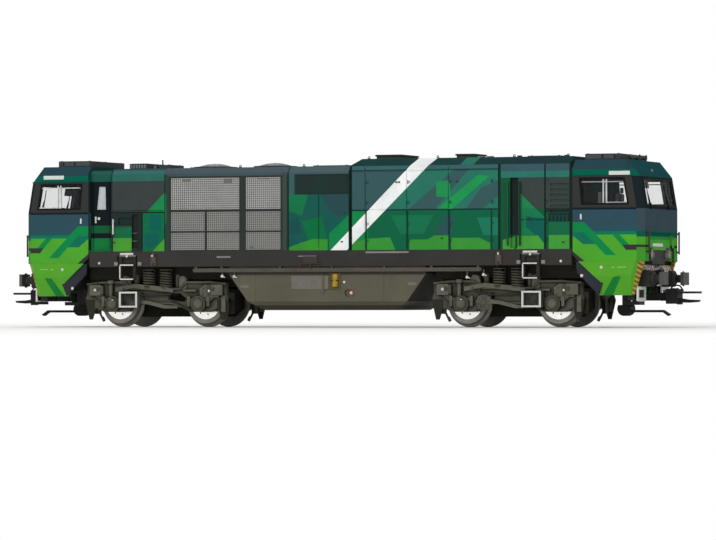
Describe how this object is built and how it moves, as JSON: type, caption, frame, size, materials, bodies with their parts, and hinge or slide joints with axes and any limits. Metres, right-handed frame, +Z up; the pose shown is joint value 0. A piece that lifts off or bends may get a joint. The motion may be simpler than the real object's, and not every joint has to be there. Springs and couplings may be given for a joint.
{
  "type": "scale model diesel locomotive",
  "caption": "H0 scale model of a twin-cab diesel freight locomotive on two swivelling bogies, with hood doors, cooling grilles, fuel tank, buffers and hook couplers.",
  "frame": {"origin": "centre of the base, at the level of the wheel flanges", "axes": "+X towards the end of cab 1 (the front in view), -Y the near side with the steps in view, +Z up"},
  "size_m": [0.212, 0.0368, 0.0491],
  "materials": {
    "frame_grey": "satin dark grey paint, slightly speckled",
    "tank_grey": "matt warm olive-grey paint, weathered",
    "cab_paint": "satin paint: slate navy above, teal line, light green below, angular green stripes",
    "hood_paint": "satin paint: slate, teal and green angular fields with one white diagonal band",
    "apron_paint": "satin light green paint with a darker green stripe and a red and yellow edge",
    "window_glass": "clear, slightly grey",
    "interior_plastic": "matt light grey",
    "grille_metal": "fine etched mesh, warm light grey",
    "roof_grey": "matt dark grey",
    "buffer_black": "matt near-black",
    "lamp_lens": "clear moulded lens",
    "step_white": "off-white paint on thin moulded bars",
    "motor_metal": "plain dark metal",
    "bogie_grey": "matt dark olive-grey",
    "gearbox_black": "matt black",
    "axle_steel": "turned steel",
    "wheel_steel": "turned steel tyre, bright disc",
    "coupler_black": "matt black"
  },
  "bodies": {
    "locomotive_body": {"main_frame": "frame_grey", "fuel_tank": "tank_grey", "cab_1": "cab_paint", "cab_2": "cab_paint", "cab_1_glazing": "window_glass", "cab_2_glazing": "window_glass", "cab_1_interior": "interior_plastic", "cab_2_interior": "interior_plastic", "entry": "hood_paint", "entry_glazing": "window_glass", "equipment_hood": "hood_paint", "cooling_hood": "hood_paint", "cooling_grilles": "grille_metal", "middle_hood": "hood_paint", "engine_hood": "hood_paint", "auxiliary_hood": "hood_paint", "cab_1_air_conditioner": "roof_grey", "cab_2_air_conditioner": "roof_grey", "cooling_fans": "roof_grey", "exhaust_boxes": "roof_grey", "roof_hatches": "roof_grey", "horns": "roof_grey", "apron_1": "apron_paint", "apron_2": "apron_paint", "buffers_1": "buffer_black", "buffers_2": "buffer_black", "headlights_1": "lamp_lens", "headlights_2": "lamp_lens", "ladders": "step_white", "handrails": "step_white", "front_steps": "step_white", "pipework": "frame_grey", "coupler_brackets": "coupler_black", "drive_motor": "motor_metal"},
    "bogie_1": {"bogie_1_frame": "bogie_grey", "bogie_1_gearbox": "gearbox_black", "bogie_1_springs": "bogie_grey", "bogie_1_axle_boxes": "bogie_grey", "bogie_1_brakes": "bogie_grey", "bogie_1_steps": "step_white"},
    "bogie_2": {"bogie_2_frame": "bogie_grey", "bogie_2_gearbox": "gearbox_black", "bogie_2_springs": "bogie_grey", "bogie_2_axle_boxes": "bogie_grey", "bogie_2_brakes": "bogie_grey", "bogie_2_steps": "step_white"},
    "wheelset_1": {"axle_1": "axle_steel", "wheels_1": "wheel_steel"},
    "wheelset_2": {"axle_2": "axle_steel", "wheels_2": "wheel_steel"},
    "wheelset_3": {"axle_3": "axle_steel", "wheels_3": "wheel_steel"},
    "wheelset_4": {"axle_4": "axle_steel", "wheels_4": "wheel_steel"},
    "coupler_1": {"coupler_1_shank": "coupler_black", "coupler_1_head": "coupler_black"},
    "coupler_2": {"coupler_2_shank": "coupler_black", "coupler_2_head": "coupler_black"}
  },
  "joints": [
    {"name": "bogie_1_swivel", "type": "hinge", "parent": "locomotive_body", "child": "bogie_1", "pos_m": [0.054, 0, 0.0114], "axis": [0, 0, 1], "range_deg": [-10, 10]},
    {"name": "bogie_2_swivel", "type": "hinge", "parent": "locomotive_body", "child": "bogie_2", "pos_m": [-0.054, 0, 0.0114], "axis": [0, 0, 1], "range_deg": [-10, 10]},
    {"name": "wheelset_1_roll", "type": "hinge", "parent": "bogie_1", "child": "wheelset_1", "pos_m": [0.0676, 0, 0.00675], "axis": [0, 1, 0], "continuous": true},
    {"name": "wheelset_2_roll", "type": "hinge", "parent": "bogie_1", "child": "wheelset_2", "pos_m": [0.0404, 0, 0.00675], "axis": [0, 1, 0], "continuous": true},
    {"name": "wheelset_3_roll", "type": "hinge", "parent": "bogie_2", "child": "wheelset_3", "pos_m": [-0.0404, 0, 0.00675], "axis": [0, 1, 0], "continuous": true},
    {"name": "wheelset_4_roll", "type": "hinge", "parent": "bogie_2", "child": "wheelset_4", "pos_m": [-0.0676, 0, 0.00675], "axis": [0, 1, 0], "continuous": true},
    {"name": "coupler_1_swing", "type": "hinge", "parent": "locomotive_body", "child": "coupler_1", "pos_m": [0.087, 0, 0.0086], "axis": [0, 0, 1], "range_deg": [-12, 12]},
    {"name": "coupler_2_swing", "type": "hinge", "parent": "locomotive_body", "child": "coupler_2", "pos_m": [-0.087, 0, 0.0086], "axis": [0, 0, 1], "range_deg": [-12, 12]}
  ]
}
